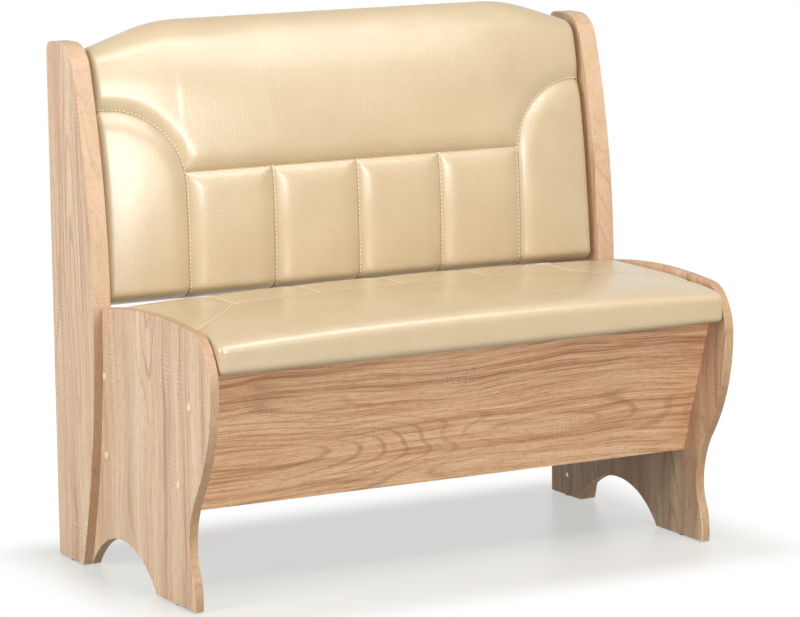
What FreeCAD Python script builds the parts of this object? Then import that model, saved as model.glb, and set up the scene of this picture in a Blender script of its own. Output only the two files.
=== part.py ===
"""Padded storage bench: board sides, a box with a hinged padded lid, and a padded back.

Millimetres, +Z up, front towards -Y, origin on the floor under the middle of the bench.
"Depth" always means the distance forward of the plane behind the bench.
"""
import FreeCAD
import Part
import math
import os

from FreeCAD import Vector

# Overall sizes
overall_width = 1000.0
overall_depth = 565.0
board = 16.0
edge_round = 1.0
glide_height = 2.0

# Low side panels: rear foot, arch, front foot and the waved front edge
rear_foot_depth = 98.0
arch_rise = 64.0
front_foot_back = 350.0
front_foot_front = 494.0
ankle_depth = 484.5
ankle_z = 66.0
waist_depth = 477.0
waist_z = 112.0
flank_depth = 507.0
flank_z = 192.0
belly_z = 370.0
shoulder_depth = 540.0
shoulder_z = 434.0
brow_depth = 507.5
brow_z = 450.5
crest_depth = 425.0
crest_z = 457.3
side_rear_top_z = 443.0

# Tall uprights outside the low panels, doubled by a liner above them
upright_height = 870.0
upright_bow_depth = 164.0
upright_bow_z = 430.0
upright_top_depth = 93.0
upright_front_round = 55.0
upright_rear_round = 18.0

# Storage box
box_bottom_z = 152.0
box_top_z = 388.0
rear_panel_depth = 161.0
rear_panel_height = 250.0
front_panel_foot_depth = 437.0
front_panel_lean = 18.8
batten = 20.0
batten_lift = 4.0
batten_screw_inset = 80.0
batten_screw_count = 4
bottom_sheet = 4.0
bottom_sheet_play = 1.0

# Padded lid
lid_rest_gap = 0.3
lid_side_gap = 3.0
cover = 3.0
hinge_slot = 7.0
seat_nose_depth = 563.0
seat_nose_under = 14.0
seat_nose_over = 18.0
seat_nose_top_z = 437.0
seat_top_z = 451.0
seat_rear_top_z = 447.0
seat_rear_round = 24.0
seat_rear_wall = 28.0
seat_rear_overhang = 12.0
seat_rear_draw = 0.9
seat_crown = 11.0
seat_seam_depth = 312.0
seat_corner_seam_depth = 478.0
seat_corner_seam_bow = 12.0
seat_stations = ((0.0, 1.0), (0.30, 0.92), (0.60, 0.66), (0.84, 0.22))
seat_end_roll = ((24.0, 2.0, 1.0), (12.0, 4.0, 3.0), (4.0, 8.0, 7.0), (0.0, 12.0, 12.0))
lid_lining = 1.0
lid_lining_inset = 24.0

# Padded back
back_lean = 8.5
back_bottom_z = 440.0
back_board_depth = 126.0
back_board_inset = 6.0
back_side_gap = 2.0
back_rise = 464.0
back_end_rise = 423.0
back_flat_half = 304.0
back_ogee_run = 160.0
back_foam = 31.0
back_face_crown = 0.75
back_base_draw = 0.1
back_flat_station = 0.6
back_foam_shares = (1.0, 0.99, 0.95, 0.93, 0.90, 0.87)
back_end_roll = ((24.0, 0.80, 1.0), (12.0, 0.68, 3.0), (4.0, 0.48, 7.0), (0.0, 0.25, 12.0))
back_bottom_round = 25.0
back_top_round = 44.0
back_seam_rise = 208.0
back_corner_seam_rise = 317.0
back_corner_seam_radius = 131.0
back_lining = 3.0
back_lining_inset = 46.0

# Sewn channels of both pads
seam_half_width = 318.0
seam_blocks = 4
channel_width = 6.0
channel_depth = 5.0
valley_width = 18.0
valley_depth = 2.0

# Lid hinges
hinge_offset = 300.0
hinge_length = 70.0
hinge_knuckles = 5
hinge_leaf = 1.5
hinge_leaf_drop = 14.0
hinge_fixed_drop = 26.0
hinge_barrel_radius = 3.25
hinge_pin_radius = 1.6
hinge_pin_head = 0.8
hinge_pin_play = 0.08
hinge_screw_pitch = 24.0
hinge_screws_per_leaf = 3

# Fasteners: shank radius, head radius, head height and length
fit = 0.15
confirmat = (3.5, 5.0, 3.0, 50.0)
confirmat_socket_radius = 2.0
confirmat_socket_depth = 2.6
cap_radius = 6.5
cap_height = 1.6
cap_dome = 1.2
fixing_heights = (199.0, 331.0)
side_screw = (2.0, 4.0, 2.4, 29.0)
side_screw_depth = 54.0
low_screw_heights = (39.0, 235.0, 405.0)
liner_screw_heights = (480.0, 650.0, 800.0)
hinge_screw = (1.6, 3.2, 0.9, 14.0)
lid_screw_length = 24.0
batten_screw = (2.0, 4.0, 2.4, 30.0)

# Back brackets
bracket_leg = 40.0
bracket_width = 20.0
bracket_steel = 2.0
bracket_rises = (90.0, 330.0)
bracket_screw = (1.8, 3.6, 1.4, 13.0)
bracket_screw_reach = (15.0, 31.0)

# Floor glides
glide_radius = 7.0
glide_nail_radius = 1.0
glide_nail_length = 12.0
front_glide_depth = 424.0
rear_glide_depth = 48.0

# Places that follow from the sizes above
rear_y = overall_depth / 2
outer_x = overall_width / 2
joint_x = outer_x - board
inner_x = joint_x - board
lean_run = math.tan(math.radians(front_panel_lean))
front_panel_level = board / math.cos(math.radians(front_panel_lean))
rear_panel_front = rear_panel_depth + board
rear_panel_top_z = box_bottom_z + rear_panel_height
lid_rear_depth = rear_panel_front + hinge_slot
lid_bottom_z = box_top_z + lid_rest_gap
lid_half = inner_x - lid_side_gap
hinge_depth = rear_panel_front + hinge_slot / 2
hinge_z = rear_panel_top_z + hinge_barrel_radius + fit
back_half = inner_x - back_side_gap
sides = (("left", -1), ("right", 1))


def at(x, depth, z):
    """A point given by its depth forward of the plane behind the bench."""
    return Vector(x, rear_y - depth, z)


def line(a, b):
    return Part.LineSegment(a, b).toShape()


def arc(a, middle, b):
    return Part.Arc(a, middle, b).toShape()


def bend(a, corner, b):
    """An arc that rounds the corner between two points, a quarter circle where it is square."""
    return arc(a, corner + ((a + b) * 0.5 - corner) * (2 - math.sqrt(2)), b)


def arc_chain(points, heading):
    """Arcs from point to point, each leaving in the direction the one before arrives in."""
    chain = []
    for a, b in zip(points, points[1:]):
        half = (b - a) * 0.5
        along = Vector(half).normalize()
        forward = heading.dot(along)
        rise = (heading - along * forward) * (half.Length / (1 + forward))
        chain.append(arc(a, a + half + rise, b))
        heading = along * (2 * forward) - heading
    return chain


def outline(points):
    """A closed face through straight-sided points."""
    return Part.Face(Part.makePolygon(points + points[:1]))


def soften(solid, edges):
    return solid.makeFillet(edge_round, edges)


def rod(radius, length, start, direction):
    return Part.makeCylinder(radius, length, start, direction)


def screw(sizes, start, direction, grow=0.0):
    """A countersunk screw from its head's face along a direction, or its hole when grown."""
    shank, head, head_height, length = sizes
    cone = Part.makeCone(head + grow, shank + grow, head_height, start, direction)
    return cone.fuse(rod(shank + grow, length + grow, start, direction)).removeSplitter()


def pan_screw(sizes, start, direction, grow=0.0):
    """A screw whose flat head stands on the surface at its start."""
    shank, head, head_height, length = sizes
    stem = rod(shank + grow, length + grow, start, direction)
    cap = rod(head, head_height, start - direction * head_height, direction)
    return stem.fuse(cap).removeSplitter()


def cut_all(solid, tools):
    return solid.cut(tools).removeSplitter()


def front_face_depth(z):
    """Depth of the leaning front panel's outer face at a height."""
    return front_panel_foot_depth + (z - box_bottom_z) * lean_run


# Side panels and uprights

def outline_edges(solid, reach):
    """The edges of a side board's broad face that lies this far from the middle of the bench."""
    found = []
    for face in solid.Faces:
        broad = abs(face.normalAt(0, 0).x) > 0.99
        if broad and abs(abs(face.CenterOfMass.x) - reach) < 0.01:
            found.extend(face.Edges)
    return found


def low_side(x):
    """Low side panel from x outwards: two feet, an arch between them and a waved front edge."""
    heel = at(x, 0, glide_height)
    instep = at(x, rear_foot_depth, glide_height)
    arch_top = at(x, (rear_foot_depth + front_foot_back) / 2, glide_height + arch_rise)
    front_heel = at(x, front_foot_back, glide_height)
    toe = at(x, front_foot_front, glide_height)
    joint = at(x, upright_bow_depth, side_rear_top_z)
    rear_top = at(x, 0, side_rear_top_z)
    belly = at(x, overall_depth, belly_z)
    flank = at(x, flank_depth, flank_z)
    waist = at(x, waist_depth, waist_z)
    ankle = at(x, ankle_depth, ankle_z)
    shoulder = at(x, shoulder_depth, shoulder_z)
    brow = at(x, brow_depth, brow_z)
    crest = at(x, crest_depth, crest_z)
    below = arc_chain([belly, flank, waist, ankle, toe], Vector(0, 0, -1))
    above = arc_chain([belly, shoulder, brow, crest, joint], Vector(0, 0, 1))
    edges = [line(heel, instep), arc(instep, arch_top, front_heel), line(front_heel, toe)]
    edges += below[::-1] + above
    edges += [line(joint, rear_top), line(rear_top, heel)]
    solid = Part.Face(Part.Wire(edges)).extrude(Vector(board, 0, 0))
    return soften(solid, outline_edges(solid, inner_x) + outline_edges(solid, joint_x))


def tall_board(x):
    """A full-height board with a bowed front edge and rounded top corners."""
    full_bow = Part.Arc(
        at(x, rear_foot_depth, glide_height),
        at(x, upright_bow_depth, upright_bow_z),
        at(x, upright_top_depth, upright_height),
    ).toShape()
    top_rear = at(x, 0, upright_height)
    heel = at(x, 0, glide_height)
    edges = [
        line(heel, full_bow.Vertexes[0].Point),
        full_bow,
        line(full_bow.Vertexes[-1].Point, top_rear),
        line(top_rear, heel),
    ]
    solid = Part.Face(Part.Wire(edges)).extrude(Vector(board, 0, 0))
    rounds = {upright_front_round: upright_top_depth, upright_rear_round: 0.0}
    for radius, depth in rounds.items():
        corner = [
            edge for edge in solid.Edges
            if all(
                abs(v.Z - upright_height) < 0.01 and abs(rear_y - v.Y - depth) < 0.01
                for v in edge.Vertexes
            )
        ]
        solid = solid.makeFillet(radius, corner)
    return solid


def upright(x):
    """The full-height board, sharp where it lies against the low side and the liner."""
    solid = tall_board(x)
    return soften(solid, outline_edges(solid, outer_x))


def liner(x):
    """The doubling board above the low side, cut from the upright's own outline."""
    below = Part.makeBox(board, overall_depth, side_rear_top_z, Vector(x, -rear_y, 0))
    solid = tall_board(x).cut(below)
    return soften(solid, outline_edges(solid, inner_x))


def confirmat_places():
    """Depth and height of each screw that holds a box panel to a side."""
    places = []
    for z in fixing_heights:
        places.append((rear_panel_depth + board / 2, z))
        places.append((front_face_depth(z) - front_panel_level / 2, z))
    return places


def confirmats(sign, grow=0.0):
    inward = Vector(-sign, 0, 0)
    return [
        screw(confirmat, at(sign * joint_x, depth, z), inward, grow)
        for depth, z in confirmat_places()
    ]


def confirmat_sockets(sign, grow=0.0):
    inward = Vector(-sign, 0, 0)
    return [
        rod(confirmat_socket_radius + grow, confirmat_socket_depth, at(sign * joint_x, depth, z), inward)
        for depth, z in confirmat_places()
    ]


def caps(sign):
    """Domed caps whose stems plug the screws' sockets."""
    made = []
    outward = Vector(sign, 0, 0)
    for (depth, z), stem in zip(confirmat_places(), confirmat_sockets(sign)):
        disc = rod(cap_radius, cap_height, at(sign * joint_x, depth, z), outward)
        rim = [e for e in disc.Edges if abs(e.CenterOfMass.x) > joint_x + cap_height / 2 and e.Closed]
        made.append(disc.makeFillet(cap_dome, rim).fuse(stem).removeSplitter())
    return made


def side_screws(sign, heights, grow=0.0):
    """Screws from a side's inner face into the upright outside it."""
    outward = Vector(sign, 0, 0)
    return [
        screw(side_screw, at(sign * inner_x, side_screw_depth, z), outward, grow)
        for z in heights
    ]


def glide_places(sign):
    """X and depth of each glide's middle."""
    low_x = sign * (inner_x + board / 2)
    tall_x = sign * (joint_x + board / 2)
    return [(low_x, front_glide_depth), (low_x, rear_glide_depth), (tall_x, rear_glide_depth)]


def glides(sign):
    made = []
    for x, depth in glide_places(sign):
        pad = rod(glide_radius, glide_height, at(x, depth, 0), Vector(0, 0, 1))
        rim = [e for e in pad.Edges if e.Closed and e.CenterOfMass.z < glide_height / 2]
        nail = rod(glide_nail_radius, glide_nail_length, at(x, depth, glide_height), Vector(0, 0, 1))
        made.append(pad.makeFillet(glide_height / 2, rim).fuse(nail).removeSplitter())
    return made


def nail_holes(sign):
    return [
        rod(glide_nail_radius + fit, glide_nail_length + fit, at(x, depth, glide_height), Vector(0, 0, 1))
        for x, depth in glide_places(sign)
    ]


# Storage box

def panel_across(points, half):
    """A board that runs across the bench, from its section in depth and height."""
    face = outline([at(-half, depth, z) for depth, z in points])
    return face.extrude(Vector(2 * half, 0, 0))


def front_panel():
    foot = front_face_depth(box_bottom_z)
    head = front_face_depth(box_top_z)
    return panel_across([
        (foot, box_bottom_z),
        (head, box_top_z),
        (head - front_panel_level, box_top_z),
        (foot - front_panel_level, box_bottom_z),
    ], inner_x)


def rear_panel():
    return panel_across([
        (rear_panel_front, box_bottom_z),
        (rear_panel_front, rear_panel_top_z),
        (rear_panel_depth, rear_panel_top_z),
        (rear_panel_depth, box_bottom_z),
    ], inner_x)


def front_batten():
    low = box_bottom_z + batten_lift
    high = low + batten
    inner_low = front_face_depth(low) - front_panel_level
    inner_high = front_face_depth(high) - front_panel_level
    return panel_across([
        (inner_low, low),
        (inner_high, high),
        (inner_low - batten, high),
        (inner_low - batten, low),
    ], inner_x)


def rear_batten():
    low = box_bottom_z + batten_lift
    return panel_across([
        (rear_panel_front + batten, low),
        (rear_panel_front + batten, low + batten),
        (rear_panel_front, low + batten),
        (rear_panel_front, low),
    ], inner_x)


def bottom():
    low = box_bottom_z + batten_lift + batten
    front = front_face_depth(low) - front_panel_level - bottom_sheet_play
    return panel_across([
        (front, low),
        (front, low + bottom_sheet),
        (rear_panel_front + bottom_sheet_play, low + bottom_sheet),
        (rear_panel_front + bottom_sheet_play, low),
    ], inner_x - bottom_sheet_play)


def batten_screws(grow=0.0):
    z = box_bottom_z + batten_lift + batten / 2
    front = front_face_depth(box_bottom_z + batten_lift) - front_panel_level - batten
    span = 2 * (inner_x - batten_screw_inset)
    made = []
    for i in range(batten_screw_count):
        x = -span / 2 + span * i / (batten_screw_count - 1)
        made.append(screw(batten_screw, at(x, front, z), Vector(0, -1, 0), grow))
        made.append(screw(batten_screw, at(x, rear_panel_front + batten, z), Vector(0, 1, 0), grow))
    return made


# Lid: board, pad and lining

def lid_board():
    depth = seat_nose_depth - seat_nose_under - cover
    rear = lid_rear_depth + cover
    half = lid_half - cover
    return Part.makeBox(2 * half, depth - rear, board, at(-half, depth, lid_bottom_z))


def seat_section(x, lift, draw):
    """Section of the seat pad: under and over the nose, crowned top, rear roll over the hinges."""
    nose = seat_nose_depth - draw
    nose_top = seat_nose_top_z + min(lift, 0)
    rear = lid_rear_depth
    hang = rear - seat_rear_overhang + draw * seat_rear_draw
    rear_top = seat_rear_top_z + lift
    wall_top = lid_bottom_z + seat_rear_wall
    rear_round = min(seat_rear_round, rear_top - wall_top - edge_round)
    a = at(x, rear, lid_bottom_z)
    b = at(x, nose - seat_nose_under, lid_bottom_z)
    c = at(x, nose, lid_bottom_z + seat_nose_under)
    c_top = at(x, nose, nose_top - seat_nose_over)
    d = at(x, nose - seat_nose_over, nose_top)
    crown = at(x, (nose + rear) / 2, seat_top_z + lift)
    e = at(x, hang + rear_round, rear_top)
    f = at(x, hang, rear_top - rear_round)
    g = at(x, rear, wall_top)
    return Part.Wire([
        line(a, b),
        bend(b, at(x, nose, lid_bottom_z), c),
        line(c, c_top),
        bend(c_top, at(x, nose, nose_top), d),
        arc(d, crown, e),
        bend(e, at(x, hang, rear_top), f),
        bend(f, at(x, hang, wall_top), g),
        line(g, a),
    ])


def seam_wall(edge, width, way, reach):
    """A thin wall of a given width along one line or arc of a seam, swept through the pad."""
    first, last = edge.ParameterRange
    rails = []
    for half in (width / 2, -width / 2):
        points = [
            edge.valueAt(t) + edge.tangentAt(t).cross(way) * half
            for t in (first, (first + last) / 2, last)
        ]
        straight = isinstance(edge.Curve, Part.Line)
        rails.append(line(points[0], points[2]) if straight else arc(*points))
    near, far = rails
    start = line(near.valueAt(near.FirstParameter), far.valueAt(far.FirstParameter))
    end = line(near.valueAt(near.LastParameter), far.valueAt(far.LastParameter))
    return Part.Face(Part.Wire([near, end, far, start])).extrude(way * reach)


def sew(pad, seams, way, reach):
    """Presses a wide valley and a narrow channel into a pad along its seams."""
    for width, depth in ((valley_width, valley_depth), (channel_width, channel_depth)):
        kept = pad.copy()
        kept.translate(way * -depth)
        pad = pad.cut([seam_wall(edge, width, way, reach).cut(kept) for edge in seams])
    return pad


def seat_seams():
    z = lid_bottom_z + board
    block = 2 * seam_half_width / seam_blocks
    rear = lid_rear_depth - 2 * seat_rear_overhang
    seams = [line(at(-seam_half_width, seat_seam_depth, z), at(seam_half_width, seat_seam_depth, z))]
    for i in range(seam_blocks + 1):
        x = -seam_half_width + block * i
        seams.append(line(at(x, seat_seam_depth, z), at(x, rear, z)))
    for sign in (-1, 1):
        inner = at(sign * seam_half_width, seat_seam_depth, z)
        outer = at(sign * (lid_half + channel_width), seat_corner_seam_depth, z)
        across = outer - inner
        bow = Vector(-across.y, across.x, 0).normalize() * (sign * seat_corner_seam_bow)
        seams.append(arc(inner, (inner + outer) * 0.5 - bow, outer))
    return seams


def seat_pad():
    """The lid's pad: sections from end to end, crowned in the middle and rolled at both ends."""
    right = [(lid_half * share, seat_crown * crown, 0.0) for share, crown in seat_stations]
    right += [(lid_half - inset, -fall, draw) for inset, fall, draw in seat_end_roll]
    left = [(-x, lift, draw) for x, lift, draw in reversed(right[1:])]
    pad = Part.makeLoft([seat_section(*s) for s in left + right], True, True)
    pad = sew(pad, seat_seams(), Vector(0, 0, 1), 2 * seat_top_z)
    return pad.cut(lid_board())


def lid_lining_sheet():
    half = lid_half - cover - lid_lining_inset
    rear = lid_rear_depth + cover + lid_lining_inset
    front = front_face_depth(box_top_z - lid_lining) - front_panel_level - lid_lining_inset
    low = lid_bottom_z - lid_lining
    return Part.makeBox(2 * half, front - rear, lid_lining, at(-half, front, low))


# Back: board, pad and lining, made upright and then leaned

def lean(shape):
    """Leans a shape whose pad faces -Y and whose base edge is the X axis."""
    shape = shape.copy()
    shape.rotate(Vector(0, 0, 0), Vector(1, 0, 0), -back_lean)
    shape.translate(at(0, back_board_depth, back_bottom_z))
    return shape


def back_rise_at(x):
    """Height of the back's top edge above its base: flat middle, ogee, lower ends."""
    fall = back_rise - back_end_rise
    radius = (back_ogee_run ** 2 + fall ** 2) / (4 * fall)
    along = min(max(abs(x) - back_flat_half, 0.0), back_ogee_run)
    if along < back_ogee_run / 2:
        return back_rise - radius + math.sqrt(radius ** 2 - along ** 2)
    rest = back_ogee_run - along
    return back_end_rise + radius - math.sqrt(radius ** 2 - rest ** 2)


def ogee_stops():
    """Five places along the ogee, from the flat middle to the lower end."""
    return [back_flat_half + back_ogee_run * i / 4 for i in range(5)]


def back_outline(inset, y):
    """Outline of the back's board or lining, inset all round, at a place in Y."""
    half = back_half - inset
    right = [Vector(x * half / back_half, y, back_rise_at(x) - inset) for x in ogee_stops()]
    left = [Vector(-p.x, p.y, p.z) for p in right]
    end = back_end_rise - inset
    corners = [Vector(half, y, end), Vector(half, y, inset), Vector(-half, y, inset), Vector(-half, y, end)]
    edges = [
        line(left[0], right[0]),
        arc(right[0], right[1], right[2]),
        arc(right[2], right[3], right[4]),
        line(right[4], corners[0]),
        line(corners[0], corners[1]),
        line(corners[1], corners[2]),
        line(corners[2], corners[3]),
        line(corners[3], left[4]),
        arc(left[4], left[3], left[2]),
        arc(left[2], left[1], left[0]),
    ]
    return Part.Face(Part.Wire(edges))


def back_section(x, foam, draw):
    """Section of the back pad: rolled base, face crowned at the small of the back, rolled top."""
    top = back_rise_at(x) - draw
    low = draw * back_base_draw
    base_round = min(back_bottom_round, foam + board - cover)
    top_round = min(back_top_round, foam + board - cover)
    a = Vector(x, board, low)
    b = Vector(x, base_round - foam, low)
    c = Vector(x, -foam, low + base_round)
    crown = Vector(x, -foam * (1 + back_face_crown), (low + base_round + top - top_round) / 2)
    d = Vector(x, -foam, top - top_round)
    e = Vector(x, top_round - foam, top)
    f = Vector(x, board, top)
    return Part.Wire([
        line(a, b),
        bend(b, Vector(x, -foam, low), c),
        arc(c, crown, d),
        bend(d, Vector(x, -foam, top), e),
        line(e, f),
        line(f, a),
    ])


def back_seams():
    """Seam paths on the back, drawn in the plane of its board's front."""
    block = 2 * seam_half_width / seam_blocks
    seams = [line(Vector(-seam_half_width, 0, back_seam_rise), Vector(seam_half_width, 0, back_seam_rise))]
    for i in range(1, seam_blocks):
        x = -seam_half_width + block * i
        seams.append(line(Vector(x, 0, back_seam_rise), Vector(x, 0, -board)))
    radius = back_corner_seam_radius
    for sign in (-1, 1):
        centre_x = sign * (seam_half_width + radius)
        low = back_corner_seam_rise - radius
        turn = radius * math.sqrt(0.5)
        start = Vector(sign * seam_half_width, 0, low)
        middle = Vector(centre_x - sign * turn, 0, low + turn)
        top = Vector(centre_x, 0, back_corner_seam_rise)
        seams += [
            line(Vector(start.x, 0, -board), start),
            arc(start, middle, top),
            line(top, Vector(sign * (back_half + channel_width), 0, back_corner_seam_rise)),
        ]
    return seams


def back_board():
    return back_outline(back_board_inset, 0).extrude(Vector(0, board, 0))


def back_pad():
    """The back's pad: sections from end to end that follow the ogee top and roll at both ends."""
    places = [0.0, back_flat_half * back_flat_station] + ogee_stops()[:-1]
    right = [(x, back_foam * share, 0.0) for x, share in zip(places, back_foam_shares)]
    right += [(back_half - inset, back_foam * share, draw) for inset, share, draw in back_end_roll]
    left = [(-x, foam, draw) for x, foam, draw in reversed(right[1:])]
    pad = Part.makeLoft([back_section(*s) for s in left + right], True, True)
    pad = sew(pad, back_seams(), Vector(0, -1, 0), 2 * back_rise)
    return pad.cut(back_board())


def back_lining_sheet():
    return back_outline(back_lining_inset, board).extrude(Vector(0, back_lining, 0))


def bracket(sign, rise):
    """Steel angle behind the back's board, its other leg on the upright's liner."""
    leg = Part.makeBox(bracket_leg, bracket_steel, bracket_width)
    leg.translate(Vector(inner_x - bracket_leg, board, rise))
    wall = Part.makeBox(bracket_steel, bracket_leg, bracket_width)
    wall.translate(Vector(inner_x - bracket_steel, board, rise))
    solid = leg.fuse(wall).removeSplitter()
    return solid if sign > 0 else solid.mirror(Vector(0, 0, 0), Vector(1, 0, 0))


def bracket_screws(sign, grow=0.0):
    """Two screws through each bracket leg, into the board and into the liner."""
    made = []
    for rise in bracket_rises:
        z = rise + bracket_width / 2
        for reach in bracket_screw_reach:
            into_board = Vector(sign * (inner_x - reach), board + bracket_steel, z)
            into_liner = Vector(sign * (inner_x - bracket_steel), board + reach, z)
            made.append(pan_screw(bracket_screw, into_board, Vector(0, -1, 0), grow))
            made.append(pan_screw(bracket_screw, into_liner, Vector(sign, 0, 0), grow))
    return made


# Hinges

def knuckle_spans(own):
    """Start and length of each knuckle that belongs to the fixed (0) or lid (1) leaf."""
    pitch = hinge_length / hinge_knuckles
    play = fit if own else 0.0
    return [(pitch * i + play, pitch - 2 * play) for i in range(own, hinge_knuckles, 2)]


def hinge_leaf_solid(sign, own):
    """One leaf with its knuckles, on the rear panel (own 0) or on the lid's rear edge (own 1)."""
    start_x = sign * hinge_offset - hinge_length / 2
    face_depth = rear_panel_front if own == 0 else lid_rear_depth - hinge_leaf
    drop = hinge_leaf_drop if own else hinge_fixed_drop
    plate_top = hinge_z - hinge_barrel_radius - fit
    low = plate_top - drop
    front = at(start_x, face_depth + hinge_leaf, low)
    solid = Part.makeBox(hinge_length, hinge_leaf, drop, front)
    along = Vector(1, 0, 0)
    for offset, length in knuckle_spans(own):
        x = start_x + offset
        barrel = rod(hinge_barrel_radius, length, at(x, hinge_depth, hinge_z), along)
        tab = Part.makeBox(length, hinge_leaf, hinge_z - plate_top, at(x, face_depth + hinge_leaf, plate_top))
        solid = solid.fuse(barrel).fuse(tab)
    bore = rod(hinge_pin_radius + hinge_pin_play, hinge_length, at(start_x, hinge_depth, hinge_z), along)
    return solid.cut(bore).removeSplitter()


def hinge_pin(sign):
    """Pin through the knuckles, with a flat head on each end."""
    start_x = sign * hinge_offset - hinge_length / 2
    along = Vector(1, 0, 0)
    pin = rod(hinge_pin_radius, hinge_length, at(start_x, hinge_depth, hinge_z), along)
    head_radius = (hinge_pin_radius + hinge_barrel_radius) / 2
    for x in (start_x - hinge_pin_head, start_x + hinge_length):
        pin = pin.fuse(rod(head_radius, hinge_pin_head, at(x, hinge_depth, hinge_z), along))
    return pin.removeSplitter()


def hinge_screws(own, grow=0.0):
    """Screws of the fixed leaves (own 0) into the rear panel, or of the lid leaves (own 1)."""
    made = []
    drop = hinge_leaf_drop if own else hinge_fixed_drop
    z = hinge_z - hinge_barrel_radius - fit - drop / 2
    length = lid_screw_length if own else hinge_screw[3]
    sizes = hinge_screw[:3] + (length,)
    depth = lid_rear_depth - hinge_leaf if own else rear_panel_front + hinge_leaf
    way = Vector(0, -1, 0) if own else Vector(0, 1, 0)
    for sign in (-1, 1):
        for i in range(hinge_screws_per_leaf):
            x = sign * hinge_offset + hinge_screw_pitch * (i - (hinge_screws_per_leaf - 1) / 2)
            made.append(screw(sizes, at(x, depth, z), way, grow))
    return made


# Assembly: each piece with its own holes

nodes = {}
panel_screw_holes = confirmats(-1, fit) + confirmats(1, fit)

for side, sign in sides:
    low_x = inner_x if sign > 0 else -joint_x
    tall_x = joint_x if sign > 0 else -outer_x
    low_holes = confirmats(sign, fit) + side_screws(sign, low_screw_heights, fit) + nail_holes(sign)
    liner_holes = side_screws(sign, liner_screw_heights, fit)
    liner_holes += [lean(s) for s in bracket_screws(sign, fit)]
    upright_holes = side_screws(sign, low_screw_heights + liner_screw_heights, fit) + nail_holes(sign)
    nodes["side_panel_" + side] = cut_all(low_side(low_x), low_holes)
    nodes["upright_" + side] = cut_all(upright(tall_x), upright_holes)
    nodes["upright_liner_" + side] = cut_all(liner(low_x), liner_holes)
    nodes["confirmat_screws_" + side] = Part.makeCompound(
        [s.cut(hole) for s, hole in zip(confirmats(sign), confirmat_sockets(sign, fit))]
    )
    nodes["screw_caps_" + side] = Part.makeCompound(caps(sign))
    nodes["upright_screws_" + side] = Part.makeCompound(
        side_screws(sign, low_screw_heights + liner_screw_heights)
    )
    nodes["floor_glides_" + side] = Part.makeCompound(glides(sign))
    holes = [lean(s) for s in bracket_screws(sign, fit)]
    brackets = [cut_all(lean(bracket(sign, rise)), holes) for rise in bracket_rises]
    nodes["back_brackets_" + side] = Part.makeCompound(brackets)
    nodes["bracket_screws_" + side] = Part.makeCompound([lean(s) for s in bracket_screws(sign)])
    nodes["hinge_fixed_leaf_" + side] = cut_all(hinge_leaf_solid(sign, 0), hinge_screws(0, fit))
    nodes["hinge_lid_leaf_" + side] = cut_all(hinge_leaf_solid(sign, 1), hinge_screws(1, fit))
    nodes["hinge_pin_" + side] = hinge_pin(sign)

nodes["box_front_panel"] = cut_all(front_panel(), panel_screw_holes + batten_screws(fit))
nodes["box_rear_panel"] = cut_all(rear_panel(), panel_screw_holes + batten_screws(fit) + hinge_screws(0, fit))
nodes["bottom_batten_front"] = cut_all(front_batten(), batten_screws(fit))
nodes["bottom_batten_rear"] = cut_all(rear_batten(), batten_screws(fit))
nodes["batten_screws"] = Part.makeCompound(batten_screws())
nodes["box_bottom_sheet"] = bottom()
nodes["hinge_screws_fixed"] = Part.makeCompound(hinge_screws(0))
nodes["hinge_screws_lid"] = Part.makeCompound(hinge_screws(1))
nodes["seat_board"] = cut_all(lid_board(), hinge_screws(1, fit))
nodes["seat_cushion"] = seat_pad().cut(hinge_screws(1, fit))
nodes["seat_lining"] = lid_lining_sheet()
back_holes = bracket_screws(-1, fit) + bracket_screws(1, fit)
nodes["back_board"] = lean(cut_all(back_board(), back_holes))
nodes["back_cushion"] = lean(back_pad())
nodes["back_lining"] = lean(back_lining_sheet())

os.makedirs("parts", exist_ok=True)
for name, shape in nodes.items():
    shape.exportStep("parts/" + name + ".step")
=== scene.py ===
"""Looks of a padded storage bench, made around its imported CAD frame.

Metres, +Z up, front towards -Y. "Depth" is the distance forward of the plane behind the bench.
"""
import math

import bmesh
import bpy
import numpy as np
from bpy.props import FloatProperty, FloatVectorProperty, PointerProperty
from mathutils import Euler, Matrix, Vector
from mathutils.bvhtree import BVHTree


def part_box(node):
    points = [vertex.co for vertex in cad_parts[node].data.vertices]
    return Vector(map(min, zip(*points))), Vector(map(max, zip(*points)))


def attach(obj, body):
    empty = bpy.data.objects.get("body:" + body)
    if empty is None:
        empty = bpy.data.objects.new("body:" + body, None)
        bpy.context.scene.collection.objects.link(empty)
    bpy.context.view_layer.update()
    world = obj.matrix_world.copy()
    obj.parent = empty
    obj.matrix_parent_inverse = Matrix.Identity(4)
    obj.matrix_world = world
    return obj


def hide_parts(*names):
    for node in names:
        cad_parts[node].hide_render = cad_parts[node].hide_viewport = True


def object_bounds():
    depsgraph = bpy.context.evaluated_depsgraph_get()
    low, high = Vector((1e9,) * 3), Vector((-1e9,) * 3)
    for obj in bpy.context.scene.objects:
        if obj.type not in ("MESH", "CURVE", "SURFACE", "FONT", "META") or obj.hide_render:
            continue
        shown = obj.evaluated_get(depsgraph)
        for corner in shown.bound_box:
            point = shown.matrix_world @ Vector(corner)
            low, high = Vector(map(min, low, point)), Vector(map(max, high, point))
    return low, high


bl_info = {
    "name": "Padded storage bench",
    "version": (1, 0, 0),
    "blender": (4, 5, 0),
    "location": "3D View > Sidebar > Bench",
    "description": "Finishes, pads, stitching and stage of a padded storage bench",
    "category": "Object",
}

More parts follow.
